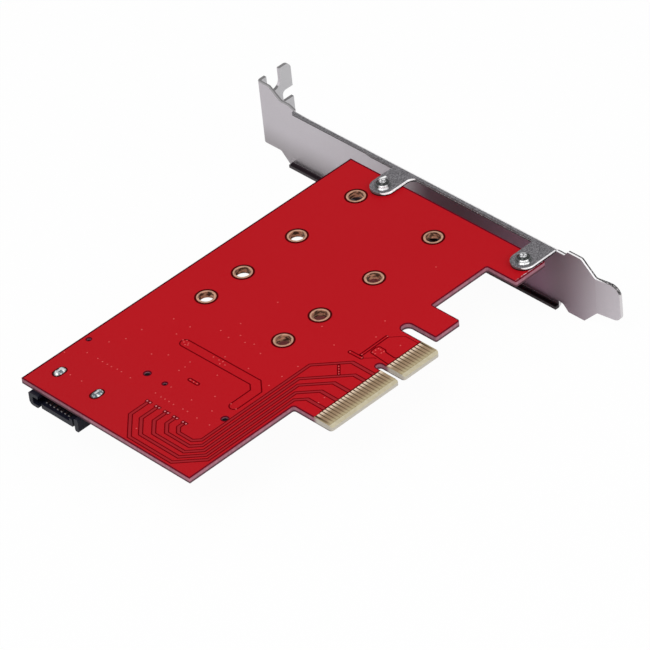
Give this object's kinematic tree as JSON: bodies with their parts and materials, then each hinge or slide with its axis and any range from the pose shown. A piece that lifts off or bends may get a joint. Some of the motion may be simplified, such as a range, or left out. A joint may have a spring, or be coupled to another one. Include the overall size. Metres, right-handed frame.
{
  "type": "nvme adapter card",
  "caption": "Expansion card with module sockets, a drive data port, a finger edge and plated stand-off holes, held by a folded steel slot bracket.",
  "frame": {"origin": "middle of the key notch, level with the tongue's tip, on the solder side of the board", "axes": "+X towards the bracket, +Y up the board away from the finger tongue, +Z out of the solder side"},
  "size_m": [0.1246, 0.12, 0.0212],
  "materials": {
    "circuit_board": "solder mask, satin",
    "edge_contacts_solder_side": "gold plated",
    "edge_contacts_component_side": "gold plated",
    "standoff_hole_plating": "gold plated",
    "mounting_bracket": "plated, satin",
    "bracket_screws": "plated",
    "nvme_socket_housing": "moulded",
    "nvme_socket_contacts": "gold plated",
    "nvme_socket_hold_downs": "tinned",
    "sata_socket_housing": "moulded",
    "sata_socket_contacts": "gold plated",
    "sata_socket_hold_downs": "tinned",
    "drive_port_housing": "moulded",
    "drive_port_contacts": "gold plated",
    "drive_port_board_locks": "tinned",
    "drive_port_solder_joints": "bright solder",
    "regulator_body": "moulded",
    "regulator_leads": "tinned",
    "power_inductor_body": "moulded iron powder",
    "power_inductor_terminals": "tinned",
    "bulk_capacitor_bodies": "moulded",
    "bulk_capacitor_terminals": "tinned",
    "chip_capacitor_bodies": "ceramic",
    "chip_capacitor_ends": "tinned",
    "chip_resistor_bodies": "glazed",
    "chip_resistor_ends": "tinned",
    "indicator_light_bases": "laminate",
    "indicator_light_lenses": "clear resin"
  },
  "bodies": {
    "root": {"circuit_board": "circuit_board", "edge_contacts_solder_side": "edge_contacts_solder_side", "edge_contacts_component_side": "edge_contacts_component_side", "standoff_hole_plating": "standoff_hole_plating", "mounting_bracket": "mounting_bracket", "bracket_screws": "bracket_screws", "nvme_socket_housing": "nvme_socket_housing", "nvme_socket_contacts": "nvme_socket_contacts", "nvme_socket_hold_downs": "nvme_socket_hold_downs", "sata_socket_housing": "sata_socket_housing", "sata_socket_contacts": "sata_socket_contacts", "sata_socket_hold_downs": "sata_socket_hold_downs", "drive_port_housing": "drive_port_housing", "drive_port_contacts": "drive_port_contacts", "drive_port_board_locks": "drive_port_board_locks", "drive_port_solder_joints": "drive_port_solder_joints", "regulator_body": "regulator_body", "regulator_leads": "regulator_leads", "power_inductor_body": "power_inductor_body", "power_inductor_terminals": "power_inductor_terminals", "bulk_capacitor_bodies": "bulk_capacitor_bodies", "bulk_capacitor_terminals": "bulk_capacitor_terminals", "chip_capacitor_bodies": "chip_capacitor_bodies", "chip_capacitor_ends": "chip_capacitor_ends", "chip_resistor_bodies": "chip_resistor_bodies", "chip_resistor_ends": "chip_resistor_ends", "indicator_light_bases": "indicator_light_bases", "indicator_light_lenses": "indicator_light_lenses"}
  },
  "joints": []
}
